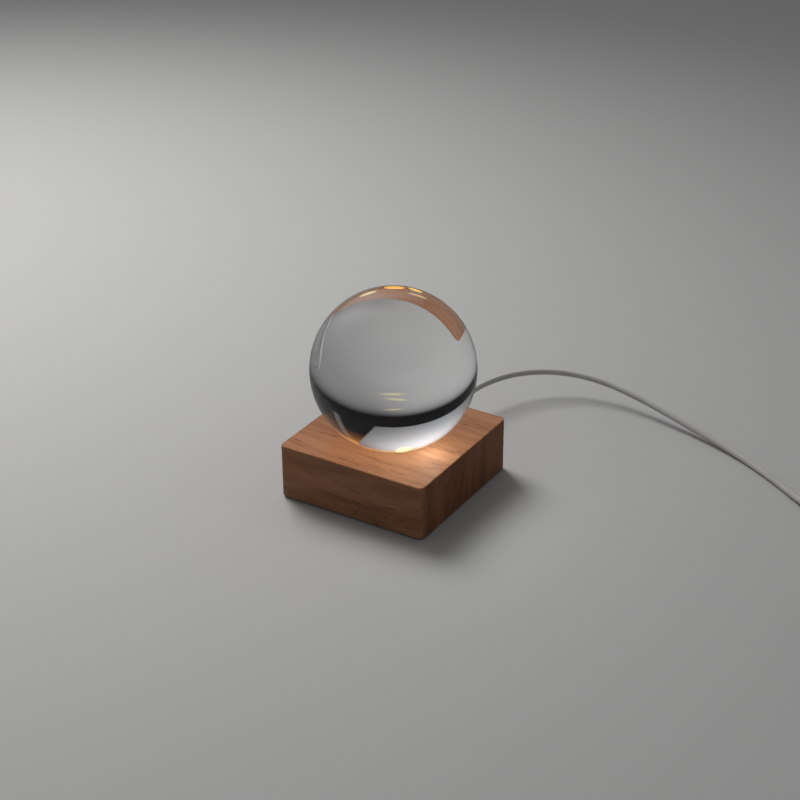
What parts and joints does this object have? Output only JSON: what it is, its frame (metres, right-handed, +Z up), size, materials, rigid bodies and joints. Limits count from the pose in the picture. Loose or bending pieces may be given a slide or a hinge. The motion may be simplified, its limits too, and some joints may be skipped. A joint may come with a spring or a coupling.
{
  "type": "glass ball lamp",
  "caption": "Solid clear glass ball resting in the lit seat of a square wooden block, a small night lamp with a grey USB lead, in-line rocker switch and plug.",
  "frame": {"origin": "on the table, under the middle of the wooden block", "axes": "+Z up; -Y is the front face with the long grain, +X the right face with end grain, and the lead leaves the +Y face"},
  "size_m": [0.3523, 0.1725, 0.1022],
  "materials": {
    "clear_glass": "polished clear, solid",
    "beech_wood": "fine-sanded, oiled, fine dark pores",
    "window_acrylic": "clear, polished",
    "white_plastic": "matte white",
    "board_white": "white solder mask",
    "led_package": "warm yellow phosphor in a white package",
    "resistor_black": "gloss black",
    "screw_steel": "zinc plated",
    "solder_tin": "bright solder",
    "wire_red": "red insulation",
    "wire_black": "black insulation",
    "cord_jacket": "light grey vinyl",
    "tie_nylon": "natural nylon",
    "grommet_rubber": "light grey soft vinyl",
    "cover_fibre": "brown pressed fibre board",
    "foot_rubber": "matte black",
    "switch_plastic": "satin, light grey",
    "rocker_plastic": "satin, light grey",
    "contact_brass": "stamped brass",
    "tie_strap": "black hook and loop strap",
    "plug_vinyl": "light grey vinyl",
    "plug_steel": "nickel plated",
    "tongue_plastic": "white",
    "contact_gold": "gold plated"
  },
  "bodies": {
    "base": {"wood_base": "beech_wood", "light_window": "window_acrylic", "reflector_ring": "white_plastic", "led_board": "board_white", "leds": "led_package", "led_resistors": "resistor_black", "board_screws": "screw_steel", "solder_joints": "solder_tin", "red_wire": "wire_red", "black_wire": "wire_black", "cord_tail": "cord_jacket", "pull_stop_tie": "tie_nylon", "cable_grommet": "grommet_rubber", "bottom_cover": "cover_fibre", "cover_screws": "screw_steel", "feet": "foot_rubber", "cord_run": "cord_jacket", "switch_lower_case": "switch_plastic", "switch_upper_case": "switch_plastic", "switch_terminals": "contact_brass", "switch_wires": "wire_red", "switch_screws": "screw_steel", "cord_lead": "cord_jacket", "cord_coil": "cord_jacket", "coil_tie": "tie_strap", "cord_end": "cord_jacket", "plug_grip": "plug_vinyl", "plug_shell": "plug_steel", "plug_insulator": "tongue_plastic", "plug_contacts": "contact_gold"},
    "ball": {"glass_ball": "clear_glass"},
    "rocker": {"switch_rocker": "rocker_plastic"}
  },
  "joints": [
    {"name": "ball_lift", "type": "slide", "parent": "base", "child": "ball", "axis": [0, 0, 1], "range_m": [0, 0.06]},
    {"name": "switch_rock", "type": "hinge", "parent": "base", "child": "rocker", "pos_m": [0.21699, 0.05105, 0.00677], "axis": [-0.6314, -0.7754, 0], "range_deg": [0, 18]}
  ]
}
